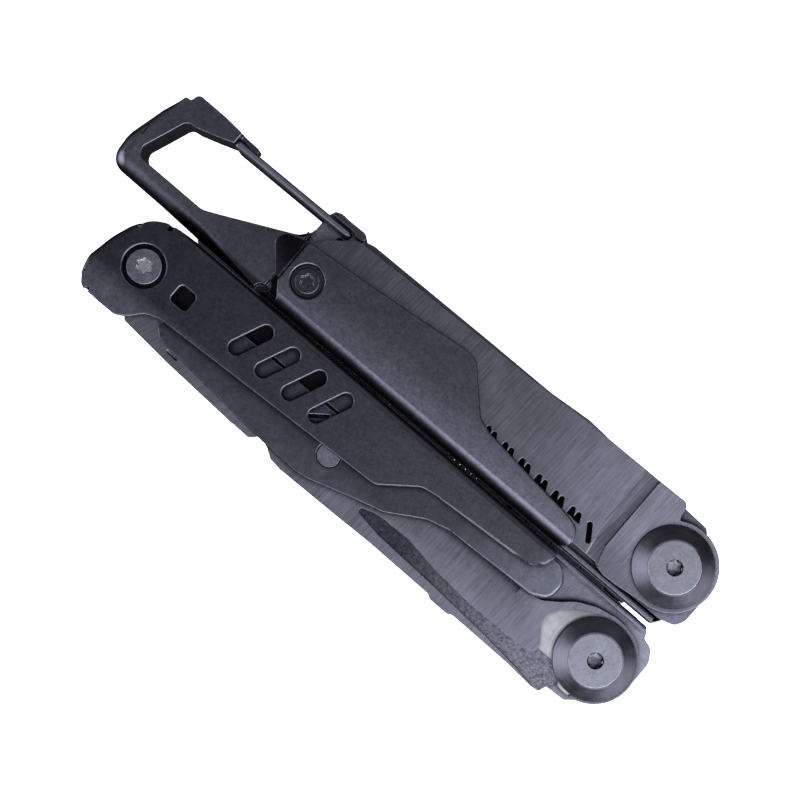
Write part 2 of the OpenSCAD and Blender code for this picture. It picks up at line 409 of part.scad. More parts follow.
module serrated_blade() color("#46474c") mirror([0, 0, 1]) difference() {
  union() {
    plate(serr_q, blade0, blade1);
    hole(B, 7.0, blade0, blade1);
  }
  hole(B, axle_r + run_c, 0, 10);
  for (i = [0:9]) hole([-20.5 - i * 4.1, -5.2], i % 2 == 0 ? 1.9 : 1.3, 0, 10);
  slot2([-52, -16.6], [-38, -16.6], 1.2, blade1 - 0.5, blade1 + 1);
  translate([-76, -6.45, 6.6]) both() rotate([-14, 0, 0]) translate([0, -3.6, 0.06]) cube([60.2, 6, 3]);
}

// ---------- end tools ----------
tool_z = [-3.45, -1.15, 1.15, 3.45];
tool_h = 0.95;
module tang(z) hole(E, 5.2, z - tool_h, z + tool_h);
module tool(q, z) difference() {
  union() {
    tang(z);
    plate(q, z - tool_h, z + tool_h);
  }
  hole(E, 2.05, -10, 10);
}
module bottle_opener() color("#34353a") difference() {
  tool([[-92.2, -8.4, 0], [-90.95, -13.3, 0], [-90.0, -16.9, 0.8], [-80, -17.65, 0], [-70, -18.1, 0], [-63.2, -18.35, 1.6], [-62.0, -17.4, 1.4], [-62.3, -14, 2], [-65.4, -12.6, 1], [-66.4, -13.9, 1],
    [-70, -14.4, 2], [-74.4, -12.6, 2.5], [-75.4, -9.6, 2], [-80, -8.4, 2], [-86, -6.4, 2], [-90, -4.4, 0]], tool_z[3]);
  // nail nick
  slot2([-81.4, -16.15], [-79.6, -16.25], 0.4, tool_z[3] + 0.7, 9);
  // thinned outer edge
  translate([-79.5, -18.6, tool_z[3] + 0.95]) rotate([0, 0, -1.6]) rotate([35, 0, 0]) translate([0, -0.6, -1.3]) cube([17.5, 1.2, 2.6]);
}
module large_flat_driver() color("#34353a") difference() {
  tool([[-92.2, -8.4, 0], [-90.95, -13.3, 0], [-88.6, -14.9, 1.2], [-84, -15.2, 2], [-63.0, -14.9, 0.3], [-63.0, -8.9, 0.3], [-72, -8.3, 3], [-86, -5.6, 2], [-90, -4.4, 0]], tool_z[2]);
  both() translate([-63, -20, 0]) rotate([0, -6, 0]) translate([-7, 0, 1.15]) cube([9, 20, 3]);
}
module cross_driver() color("#34353a") difference() {
  tool([[-92.2, -8.4, 0], [-90.95, -13.3, 0], [-88.6, -14.6, 1.2], [-84, -14.8, 2], [-70.2, -13.6, 0.8], [-66.0, -12.6, 0], [-63.6, -11.3, 0.3], [-63.6, -10.3, 0.3], [-66.0, -9.0, 0], [-70.2, -8.0, 0.8], [-86, -5.6, 2], [-90, -4.4, 0]], tool_z[1]);
  slot2([-70, -10.8], [-62, -10.8], 0.6, tool_z[1] + 0.45, 3);
  slot2([-70, -10.8], [-62, -10.8], 0.6, -6, tool_z[1] - 0.45);
}
module awl() color("#34353a") tool([[-92.2, -8.4, 0], [-90.95, -13.3, 0], [-88.6, -14.7, 1.2], [-84, -15.0, 2], [-74, -14.0, 4], [-64.2, -10.1, 0.2], [-76, -8.2, 6], [-86, -5.6, 2], [-90, -4.4, 0]], tool_z[0]);
module end_tool_axle() color("#6a6b70") ring(E, 2.0, 1.2, -wall1, wall1);
module end_tool_spacers() color("#55565c") for (z = [-2.3, 0, 2.3]) ring(E, 4.0, 2.05, z - 0.14, z + 0.14);
module end_tool_bushes() color("#26272b") both() ring(E, 3.6, 1.25, wall1 + 0.02, liner0 - 0.02);
module end_tool_screws() color("#3a3b40") translate([E.x, E.y, 0]) both() difference() {
  union() {
    translate([0, 0, liner1 + 0.02]) cylinder(r = 2.75, h = 0.8);
    translate([0, 0, 1.2]) cylinder(r = 1.18, h = 7.5);
  }
  translate([0, 0, 8.7]) linear_extrude(2) polygon(star(1.35));
}
module end_tool_spring() color("#55565c") translate([0, 0, -4.4]) linear_extrude(8.8)
  polygon(rp([[-59.6, -13.9, 0], [-58.6, -13.9, 0], [-58.6, -1.9, 1.6], [-60.6, -0.7, 1.4], [-80, -0.9, 20], [-92.6, -1.95, 0.2], [-92.6, -2.85, 0.2], [-80, -1.8, 20], [-61.2, -1.7, 0.8], [-59.6, -2.6, 0.8]]));

place() jaw_rivet();
place() jaw_a();
place() jaw_b();
place() handle_a_channel();
place() handle_a_cover_front();
place() handle_a_cover_back();
place() handle_a_liner_front();
place() handle_a_liner_back();
place() handle_a_axle();
place() handle_a_washer_front();
place() handle_a_washer_back();
place() handle_a_pivot_screws();
place() carabiner_body();
place() carabiner_spacers();
place() carabiner_screws();
place() gate_wire();
place() saw_blade();
place() file_blade();
place() handle_b_channel();
place() handle_b_cover_front();
place() handle_b_cover_back();
place() handle_b_liner_front();
place() handle_b_liner_back();
place() handle_b_liner_rivets();
place() handle_b_axle();
place() handle_b_washer_front();
place() handle_b_washer_back();
place() handle_b_pivot_screws();
place() knife_blade();
place() serrated_blade();
place() end_tool_axle();
place() end_tool_spacers();
place() end_tool_bushes();
place() end_tool_screws();
place() end_tool_spring();
place() bottle_opener();
place() large_flat_driver();
place() cross_driver();
place() awl();
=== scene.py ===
import bpy, bmesh, math
from mathutils import Vector, Matrix


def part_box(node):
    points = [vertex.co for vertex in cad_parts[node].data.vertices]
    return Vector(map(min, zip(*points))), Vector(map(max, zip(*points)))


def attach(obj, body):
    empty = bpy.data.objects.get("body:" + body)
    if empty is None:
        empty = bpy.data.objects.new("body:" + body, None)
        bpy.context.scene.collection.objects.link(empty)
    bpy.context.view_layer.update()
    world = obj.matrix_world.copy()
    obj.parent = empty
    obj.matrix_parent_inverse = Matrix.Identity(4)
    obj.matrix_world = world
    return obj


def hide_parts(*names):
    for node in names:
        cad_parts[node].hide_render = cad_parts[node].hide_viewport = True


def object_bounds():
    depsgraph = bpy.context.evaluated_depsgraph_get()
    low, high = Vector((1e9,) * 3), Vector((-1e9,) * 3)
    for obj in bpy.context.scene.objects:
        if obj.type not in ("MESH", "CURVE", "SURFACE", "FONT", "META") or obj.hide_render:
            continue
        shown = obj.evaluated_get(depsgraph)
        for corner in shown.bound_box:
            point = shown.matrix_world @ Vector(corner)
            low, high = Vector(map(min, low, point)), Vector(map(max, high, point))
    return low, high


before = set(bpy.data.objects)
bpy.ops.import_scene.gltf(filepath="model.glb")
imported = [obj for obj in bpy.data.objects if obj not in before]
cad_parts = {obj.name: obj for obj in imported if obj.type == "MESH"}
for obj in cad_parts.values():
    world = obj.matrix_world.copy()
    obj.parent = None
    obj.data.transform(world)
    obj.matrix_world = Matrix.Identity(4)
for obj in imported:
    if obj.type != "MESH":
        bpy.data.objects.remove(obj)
CAD_LO, CAD_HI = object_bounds()
nodes = dict(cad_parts)
MM = 0.001

# pieces whose larger corner radii are made here stand for their CAD nodes
def stand_in(node, body):
    bpy.context.view_layer.update()
    o = nodes[node]
    piece = bpy.data.objects.new(node + "_rounded", o.data.copy())
    bpy.context.scene.collection.objects.link(piece)
    piece.matrix_world = o.matrix_world.copy()
    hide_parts(node)
    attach(piece, body)
    nodes[node] = piece
stand_in("carabiner_body", "handle_a")
for s_ in ("front", "back"):
    stand_in(f"handle_b_cover_{s_}", "handle_b")
    stand_in(f"handle_b_liner_{s_}", "handle_b")

# ------------------------------------------------------------------ places
def mid(node):
    lo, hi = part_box(node)
    return (lo + hi) / 2
PA = mid("handle_a_axle")
PB = mid("handle_b_axle")
PE = mid("end_tool_axle")
MIDZ = PA.z
# the part's own drawing origin: half way between the two handle pivots
O = Vector(((PA.x + PB.x) / 2, (PA.y + PB.y) / 2, MIDZ))
def T(x, y, z=0.0):
    return O + Vector((x, y, z)) * MM

# ------------------------------------------------------------------ camera
scene = bpy.context.scene
cam_d = bpy.data.cameras.new("camera")
cam = bpy.data.objects.new("camera", cam_d)
scene.collection.objects.link(cam)
scene.camera = cam
cam_d.sensor_width = 36.0
H = 330.0
cam_d.lens = 36.0 * H / 123.077
cam_d.clip_start = 0.01
cam_d.clip_end = 10
cam.location = T(-48.88, 1.6, 9.4 + H)
cam.rotation_euler = (0, 0, math.radians(40.5))
scene.view_settings.view_transform = "Standard"
scene.view_settings.look = "None"

# ------------------------------------------------------------------ material helpers
class M:
    def __init__(self, name):
        self.m = bpy.data.materials.new(name)
        self.m.use_nodes = True
        self.t = self.m.node_tree
        for n in list(self.t.nodes):
            self.t.nodes.remove(n)
        self.out = self.t.nodes.new("ShaderNodeOutputMaterial")
        self.b = self.t.nodes.new("ShaderNodeBsdfPrincipled")
        self.t.links.new(self.b.outputs[0], self.out.inputs[0])
        self.tc = self.t.nodes.new("ShaderNodeTexCoord")
        self.co = self.tc.outputs["Object"]
    def n(self, kind, **kw):
        x = self.t.nodes.new(kind)
        for k, v in kw.items():
            setattr(x, k, v)
        return x
    def link(self, a, b):
        self.t.links.new(a, b)
    def mapping(self, scale=(1, 1, 1), rot=(0, 0, 0), loc=(0, 0, 0), src=None):
        x = self.n("ShaderNodeMapping")
        x.inputs["Scale"].default_value = scale
        x.inputs["Rotation"].default_value = rot
        x.inputs["Location"].default_value = loc
        self.link(src or self.co, x.inputs["Vector"])
        return x.outputs[0]
    def noise(self, scale, detail=2.0, rough=0.5, vec=None, dist=0.0):
        x = self.n("ShaderNodeTexNoise")
        x.inputs["Scale"].default_value = scale
        x.inputs["Detail"].default_value = detail
        x.inputs["Roughness"].default_value = rough
        x.inputs["Distortion"].default_value = dist
        self.link(vec or self.co, x.inputs["Vector"])
        return x.outputs["Fac"]
    def ramp(self, fac, stops):
        x = self.n("ShaderNodeValToRGB")
        e = x.color_ramp.elements
        while len(e) < len(stops):
            e.new(0.5)
        for el, (p, c) in zip(e, stops):
            el.position = p
            el.color = (c, c, c, 1) if isinstance(c, (int, float)) else (*c, 1)
        self.link(fac, x.inputs[0])
        return x.outputs[0]
    def math(self, op, a, b=None, clamp=False):
        x = self.n("ShaderNodeMath", operation=op)
        x.use_clamp = clamp
        for i, v in enumerate((a, b)):
            if v is None:
                continue
            if isinstance(v, (int, float)):
                x.inputs[i].default_value = v
            else:
                self.link(v, x.inputs[i])
        return x.outputs[0]
    def mix(self, fac, a, b):
        x = self.n("ShaderNodeMix", data_type="RGBA")
        for i, v in zip((0, 6, 7), (fac, a, b)):
            if isinstance(v, (int, float)):
                x.inputs[i].default_value = v
            elif isinstance(v, tuple):
                x.inputs[i].default_value = (*v, 1)
            else:
                self.link(v, x.inputs[i])
        return x.outputs[2]
    def bump(self, height, strength, dist, normal=None):
        x = self.n("ShaderNodeBump")
        x.inputs["Strength"].default_value = strength
        x.inputs["Distance"].default_value = dist
        self.link(height, x.inputs["Height"])
        if normal is not None:
            self.link(normal, x.inputs["Normal"])
        return x.outputs[0]
    def xyz(self, src=None):
        x = self.n("ShaderNodeSeparateXYZ")
        self.link(src or self.co, x.inputs[0])
        return x.outputs
    def set(self, **kw):
        for k, v in kw.items():
            self.b.inputs[k].default_value = v

def blasted(name, dark, light, rough=0.5, metal=0.0, grain=5200, gs=0.35, spec=0.5, depth=0.00003, mottle=420):
    """Bead-blasted black oxide: fine pitted grain over slow mottling."""
    m = M(name)
    g = m.noise(grain, 2.0, 0.6)
    mo = m.noise(mottle, 3.0, 0.55)
    sp = m.noise(1500, 2.0, 0.6)
    co = m.noise(3600, 3.0, 0.7)
    f = m.math("ADD", m.math("MULTIPLY", co, 0.5), m.math("ADD", m.math("MULTIPLY", mo, 0.2), m.math("MULTIPLY", sp, 0.3)))
    f = m.ramp(f, [(0.40, 0.0), (0.60, 1.0)])
    m.link(m.mix(f, dark, light), m.b.inputs["Base Color"])
    m.link(m.ramp(m.math("ADD", m.math("MULTIPLY", mo, 0.5), m.math("MULTIPLY", sp, 0.5)), [(0.3, rough - 0.025), (0.7, rough + 0.03)]), m.b.inputs["Roughness"])
    m.link(m.bump(g, gs, depth), m.b.inputs["Normal"])
    m.set(Metallic=metal)
    m.b.inputs["Specular IOR Level"].default_value = spec
    return m

def brushed(name, dark, light, rough=0.38, metal=0.6, angle=0.0, gs=0.3, spec=0.5, fine=9000, along=260):
    """Ground black steel with grain lines running across the blade."""
    m = M(name)
    v = m.mapping((1, along / fine, along / fine), (0, 0, 0), src=m.mapping(rot=(0, 0, angle)))
    a = m.noise(fine, 2.0, 0.7, vec=v)
    v2 = m.mapping((1, 0.05, 0.05), src=m.mapping(rot=(0, 0, angle + 0.06)))
    b = m.noise(3200, 2.0, 0.6, vec=v2)
    mo = m.noise(260, 3.0, 0.55)
    f = m.math("ADD", m.math("MULTIPLY", a, 0.4), m.math("ADD", m.math("MULTIPLY", b, 0.35), m.math("MULTIPLY", mo, 0.25)))
    f = m.ramp(f, [(0.36, 0.0), (0.66, 1.0)])
    m.link(m.mix(f, dark, light), m.b.inputs["Base Color"])
    m.link(m.ramp(m.math("ADD", m.math("MULTIPLY", b, 0.6), m.math("MULTIPLY", mo, 0.4)), [(0.3, rough - 0.04), (0.7, rough + 0.05)]), m.b.inputs["Roughness"])
    h = m.math("ADD", m.math("MULTIPLY", a, 0.6), m.math("MULTIPLY", b, 0.4))
    m.link(m.bump(h, gs, 0.00003), m.b.inputs["Normal"])
    m.set(Metallic=metal)
    m.b.inputs["Specular IOR Level"].default_value = spec
    return m

def turned(name, center, dark, light, rough=0.32, metal=0.9, gs=0.25, aniso=0.55, pitch=0.09, spokes=True):
    """Lathe-turned face: fine rings about an axis over slow mottling."""
    m = M(name)
    sub = m.n("ShaderNodeVectorMath", operation="SUBTRACT")
    sub.inputs[1].default_value = (center.x, center.y, 0)
    m.link(m.co, sub.inputs[0])
    s = m.xyz(sub.outputs[0])
    r2 = m.math("ADD", m.math("MULTIPLY", s[0], s[0]), m.math("MULTIPLY", s[1], s[1]))
    r = m.math("SQRT", r2)
    cr = m.n("ShaderNodeCombineXYZ")
    m.link(m.math("MULTIPLY", r, 1.0), cr.inputs[0])
    m.link(m.math("MULTIPLY", s[2], 0.6), cr.inputs[1])
    rings = m.noise(1000 / pitch * 0.7, 2.0, 0.7, vec=cr.outputs[0])
    mo = m.noise(700, 3.0, 0.55)
    f = m.math("ADD", m.math("MULTIPLY", rings, 0.55), m.math("MULTIPLY", mo, 0.45))
    f = m.ramp(f, [(0.34, 0.0), (0.66, 1.0)])
    m.link(m.mix(f, dark, light), m.b.inputs["Base Color"])
    m.link(m.ramp(mo, [(0.3, rough - 0.05), (0.7, rough + 0.07)]), m.b.inputs["Roughness"])
    m.link(m.bump(rings, gs, 0.00002), m.b.inputs["Normal"])
    m.set(Metallic=metal)
    m.b.inputs["Anisotropic"].default_value = aniso
    tg = m.n("ShaderNodeTangent", direction_type="RADIAL", axis="Z")
    m.link(tg.outputs[0], m.b.inputs["Tangent"])
    return m

def fade_x(m, socket, x0, v0, x1, v1):
    """Multiplies what is linked to a colour socket by a factor that changes along the handles; used to paint light and
    shade along them.
    """
    old = m.b.inputs[socket].links[0].from_socket
    r = m.n("ShaderNodeMapRange")
    m.link(m.xyz()[0], r.inputs["Value"])
    for k, v in zip(("From Min", "From Max", "To Min", "To Max"), (T(x0, 0).x, T(x1, 0).x, v0, v1)):
        r.inputs[k].default_value = v
    x = m.n("ShaderNodeVectorMath", operation="SCALE")
    m.link(old, x.inputs[0])
    m.link(r.outputs["Result"], x.inputs["Scale"])
    m.link(x.outputs[0], m.b.inputs[socket])
    return m

# colours are linear
def fade_y(m, socket, y0, v0, y1, v1):
    """The same across the handles; used to paint light and shade across them."""
    old = m.b.inputs[socket].links[0].from_socket
    r = m.n("ShaderNodeMapRange")
    m.link(m.xyz()[1], r.inputs["Value"])
    for k, v in zip(("From Min", "From Max", "To Min", "To Max"), (T(0, y0).y, T(0, y1).y, v0, v1)):
        r.inputs[k].default_value = v
    x = m.n("ShaderNodeVectorMath", operation="SCALE")
    m.link(old, x.inputs[0])
    m.link(r.outputs["Result"], x.inputs["Scale"])
    m.link(x.outputs[0], m.b.inputs[socket])
    return m
def grey(v, tint=(1.0, 0.965, 1.03)):
    return tuple(v * k for k in tint)
BC = "Base Color"
def paint_contact_shade(m, dist=0.9, low=0.12):
    """Paints shade into the base colour where another piece stands close above it, from ambient occlusion: painted
    shade standing in for the shaded seams of stacked sheets.
    """
    old = m.b.inputs[BC].links[0].from_socket
    ao = m.n("ShaderNodeAmbientOcclusion")
    ao.samples = 6
    ao.inputs["Distance"].default_value = dist * MM
    x = m.n("ShaderNodeVectorMath", operation="SCALE")
    m.link(old, x.inputs[0])
    m.link(m.ramp(ao.outputs["AO"], [(0.45, low), (0.90, 1.0)]), x.inputs["Scale"])
    m.link(x.outputs[0], m.b.inputs[BC])
    return m
mats = {}
# Cover A: painted light and shade, brighter by y 3 and darker towards y 8, and painted shade darkening the fold below
# y 1.9.
mats["cover_a"] = fade_y(fade_y(blasted("cover_black_a", grey(0.072), grey(0.112), rough=0.29, gs=0.09, metal=0.96), BC, 3.0, 1.22, 8.0, 0.68), BC, 1.15, 0.3, 1.9, 1.0)
# Cover B: the same black finish as cover A, painted half as bright as shade; painted light rising towards x -40 and at
# the end past x -17.5, and a painted highlight on the rounded lower end below y -11.5.
mats["cover_b"] = fade_y(fade_x(blasted("cover_black_b", grey(0.036), grey(0.056), rough=0.29, gs=0.09, metal=0.96), BC, -88, 0.88, -40, 1.06), BC, -14.5, 3.0, -11.5, 1.0)
mats["cover_b"] = fade_x(mats["cover_b"], BC, -17.5, 1.0, -15.2, 1.5)
mats["cover_edge"] = blasted("cover_edge", grey(0.06), grey(0.105), rough=0.30, gs=0.1, metal=0.96)
# Channel A: painted shade, near black left of x -14.5 where the wall lies deep under the covers, and painted light
# rising towards the pivot end.
mats["channel_a"] = fade_x(fade_x(blasted("channel_black_a", grey(0.068), grey(0.112), rough=0.34, gs=0.3, metal=0.95), BC, -19, 0.06, -14.5, 1.0), BC, -6, 0.85, 6, 1.3)
# behind the saw's slot and gullets the wall is painted near black: painted shade
m_ = mats["channel_a"]
old_ = m_.b.inputs[BC].links[0].from_socket
gullet_shade_ = m_.math("MULTIPLY", m_.math("LESS_THAN", m_.xyz()[0], T(-11.6, 0).x), m_.math("GREATER_THAN", m_.xyz()[1], T(0, 2.6).y))
m_.link(m_.mix(gullet_shade_, old_, (0.003, 0.003, 0.0035)), m_.b.inputs[BC])
# Channel B: a lighter copy of channel A's finish, painted light; painted shade left of x -14.5 and painted light
# rising towards the pivot end.
mats["channel_b"] = fade_x(fade_x(blasted("channel_black_b", grey(0.085), grey(0.14), rough=0.32, gs=0.3, metal=0.95), BC, -19, 0.06, -14.5, 1.0), BC, -6, 1.0, 6, 1.55)
mats["channel_edge"] = blasted("channel_edge", grey(0.11), grey(0.19), rough=0.32, gs=0.15, metal=0.95)
# The carabiner's ramp: a near black copy of the hook's finish, painted shade.
mats["hook_ramp_shade"] = blasted("hook_ramp_shade", grey(0.018), grey(0.034), rough=0.34, gs=0.12, metal=0.9)
# The lug: a lighter copy of the hook's finish, painted light on the recessed lug.
mats["hook_lug"] = blasted("hook_lug", grey(0.12), grey(0.20), rough=0.33, gs=0.12, metal=0.95)
# Hook: painted light and shade, brighter by the lower bar and darker towards y 8, a painted highlight at the left end,
# and painted shade on the bar's rounded lower flank below y 1.9.
mats["hook"] = fade_y(fade_x(fade_y(blasted("hook_black", grey(0.066), grey(0.102), rough=0.29, gs=0.09, metal=0.96), BC, 2.5, 1.05, 8.0, 0.74), BC, -107, 1.55, -84, 1.0), BC, 1.2, 0.3, 1.9, 1.0)
mats["hook_edge"] = blasted("hook_edge", grey(0.07), grey(0.13), rough=0.30, gs=0.12, metal=0.96)
mats["liner_a"] = blasted("liner_black_a", grey(0.066, (1, 1, 1.04)), grey(0.112, (1, 1, 1.04)), rough=0.29, gs=0.14, metal=0.95)
# Liner B: painted shade darkening towards x -30 by the cover's edge, painted light towards the pivot and on the lower
# end below y -12.5.
mats["liner_b"] = fade_y(fade_x(blasted("liner_black_b", grey(0.064, (1, 1, 1.04)), grey(0.096, (1, 1, 1.04)), rough=0.29, gs=0.12, metal=0.95), BC, -30, 0.54, -13, 1.3), BC, -14.5, 1.4, -12.5, 1.0)
mats["liner_edge"] = blasted("liner_edge", grey(0.06), grey(0.11), rough=0.30, gs=0.1, metal=0.96)
# Saw and file: painted light rising towards the pivot, painted shade darkening towards y 2 by the handle gap.
mats["blade_a"] = fade_y(fade_x(brushed("blade_black_a", (0.072, 0.071, 0.074), (0.118, 0.117, 0.119), rough=0.27, metal=0.95, gs=0.2), BC, -30, 1.08, -8, 1.85), BC, 2.0, 0.55, 9.0, 1.0)
# Serrated blade and knife: painted light, brightened and rising a little towards the pivot.
mats["blade_b"] = fade_x(brushed("blade_black_b", (0.072, 0.071, 0.074), (0.118, 0.117, 0.119), rough=0.27, metal=0.95, gs=0.2), BC, -60, 1.3, -10, 1.38)
mats["blade_edge"] = brushed("blade_edge", (0.11, 0.108, 0.108), (0.20, 0.197, 0.196), rough=0.32, metal=0.95, gs=0.18)
mats["groove"] = brushed("groove_dark", (0.040, 0.039, 0.043), (0.095, 0.093, 0.098), rough=0.38, metal=0.9, gs=0.5, fine=4200, along=200)
# The turned, worn recess round the knife's pivot has its own lighter colour; painted shade darkens it towards y -5.4.
mats["blade_worn_and_shade"] = fade_y(turned("blade_worn_and_shade", PB, (0.20, 0.194, 0.176), (0.36, 0.35, 0.312), rough=0.36, metal=0.95, aniso=0.2), BC, -5.4, 0.62, -9.5, 1.06)
mats["blade_cast"] = None
# Jaws, jaw rivet and end tool spring: painted light rising towards the pivot, painted shade right of x -37 where the
# jaws lie in the gap between the handles.
mats["jaw"] = fade_x(fade_x(brushed("jaw_steel", (0.07, 0.07, 0.072), (0.13, 0.13, 0.132), rough=0.36, metal=0.9, angle=math.pi / 2), BC, -22, 1.0, -12, 1.5), BC, -39.5, 1.15, -37.0, 0.4)
mats["jaw_edge"] = brushed("jaw_edge", (0.08, 0.08, 0.08), (0.15, 0.15, 0.15), rough=0.34, metal=0.9)
# End tools: painted shade, near black above y -12.3 where they lie under the liner.
mats["tool"] = fade_y(brushed("tool_black", (0.105, 0.103, 0.107), (0.165, 0.163, 0.168), rough=0.30, metal=0.95, angle=0.3, gs=0.15), BC, -13.3, 1.0, -12.3, 0.08)
# The two washers share one finish; washer B's copy is lighter than washer A's: painted light.
mats["washer_a"] = turned("washer_dark_a", PA, (0.085, 0.079, 0.085), (0.145, 0.138, 0.144), rough=0.34, metal=0.95)
mats["washer_b"] = turned("washer_dark_b", PB, (0.096, 0.09, 0.096), (0.163, 0.156, 0.162), rough=0.37, metal=0.95)
mats["screw"] = blasted("screw_grey", (0.145, 0.144, 0.141), (0.198, 0.196, 0.192), rough=0.28, metal=0.95, gs=0.10, grain=6500)
mats["screw_edge"] = blasted("screw_edge", (0.24, 0.237, 0.232), (0.36, 0.355, 0.348), rough=0.3, metal=0.95, gs=0.08)
# Inside the pivot screws' sockets: a darker copy of the screw's finish on the floor and near black on the walls,
# painted shade of the recess.
mats["socket"] = blasted("socket_dark", (0.09, 0.088, 0.088), (0.19, 0.188, 0.186), rough=0.35, metal=0.95, gs=0.2)
mats["socket_rim"] = blasted("socket_rim", (0.004, 0.003, 0.004), (0.010, 0.009, 0.010), rough=0.4, metal=0.95, gs=0.1)
mats["small"] = blasted("small_screw_black", (0.024, 0.023, 0.025), (0.048, 0.046, 0.05), rough=0.33, metal=0.95, gs=0.15)
mats["small_edge"] = blasted("small_screw_edge", (0.07, 0.068, 0.07), (0.14, 0.137, 0.139), rough=0.32, metal=0.95, gs=0.12)
mats["end_screw"] = blasted("end_screw_black", (0.105, 0.102, 0.107), (0.18, 0.176, 0.184), rough=0.32, metal=0.95, gs=0.15)
mats["end_screw_edge"] = blasted("end_screw_edge", (0.13, 0.128, 0.13), (0.24, 0.237, 0.24), rough=0.30, metal=0.95, gs=0.12)
mats["bright"] = brushed("bright_steel", (0.23, 0.226, 0.21), (0.58, 0.57, 0.53), rough=0.30, metal=1.0, gs=0.12)
mats["rivet"] = blasted("rivet_grey", (0.09, 0.09, 0.094), (0.17, 0.169, 0.175), rough=0.30, metal=0.95, gs=0.15)
mats["wire"] = brushed("wire_black", (0.10, 0.098, 0.102), (0.19, 0.187, 0.191), rough=0.32, metal=0.9, angle=math.pi / 2, gs=0.12)
mats["spacer"] = blasted("spacer_black", (0.006, 0.006, 0.008), (0.014, 0.014, 0.017), rough=0.45, gs=0.2, spec=0.25)

def cast_material():
    m = M("blade_cast")
    g = m.noise(2100, 3.0, 0.65)
    f = m.noise(5200, 2.0, 0.6)
    sp = m.ramp(m.math("ADD", m.math("MULTIPLY", g, 0.65), m.math("MULTIPLY", f, 0.35)), [(0.40, 0.0), (0.66, 1.0)])
    m.link(m.mix(sp, (0.045, 0.045, 0.048), (0.165, 0.163, 0.166)), m.b.inputs["Base Color"])
    m.link(m.ramp(g, [(0.3, 0.36), (0.7, 0.52)]), m.b.inputs["Roughness"])
    m.link(m.bump(m.math("ADD", g, m.math("MULTIPLY", f, 0.4)), 0.8, 0.00008), m.b.inputs["Normal"])
    m.set(Metallic=0.9)
    return m
# The knife's cast groove: painted shade darkening towards x -34, painted light towards the pivot.
mats["blade_cast"] = fade_x(cast_material(), "Base Color", -34, 0.26, -9, 1.2)

# painted shade in the seams under the pieces above
for k in ("liner_a", "blade_a", "channel_a", "channel_b", "tool", "hook_lug", "jaw"):
    paint_contact_shade(mats[k])
for k in ("liner_b", "blade_b"):
    paint_contact_shade(mats[k], 1.1, 0.03)
paint_contact_shade(mats["blade_worn_and_shade"], 0.7, 0.3)

# ------------------------------------------------------------------ CAD node finish
def finish(node, main, edge=None, width=0.15, seg=2, angle=32, slots=(), clamp=False, flat=True):
    o = nodes[node]
    me = o.data
    me.materials.clear()
    for k in (main, edge or main) + tuple(slots):
        me.materials.append(mats[k].m)
    for p in me.polygons:
        p.use_smooth = True
        p.material_index = 0
    if "custom_normal" in me.attributes:
        me.attributes.remove(me.attributes["custom_normal"])
    w = o.modifiers.new("weld", "WELD")
    w.merge_threshold = 2e-6
    if flat:
        d = o.modifiers.new("flat", "DECIMATE")
        d.decimate_type = "DISSOLVE"
        d.angle_limit = math.radians(0.6)
        d.delimit = {"MATERIAL"}
    if width:
        b = o.modifiers.new("edge", "BEVEL")
        b.limit_method = "ANGLE"
        b.angle_limit = math.radians(angle)
        b.width = width * MM
        b.segments = seg
        b.use_clamp_overlap = clamp
        b.harden_normals = False
        b.material = 1 if edge else 0
        b.miter_outer = "MITER_ARC"
        b.loop_slide = False
    wn_ = o.modifiers.new("normals", "WEIGHTED_NORMAL")
    wn_.mode = "FACE_AREA"
    wn_.weight = 100
    wn_.keep_sharp = False
    return o

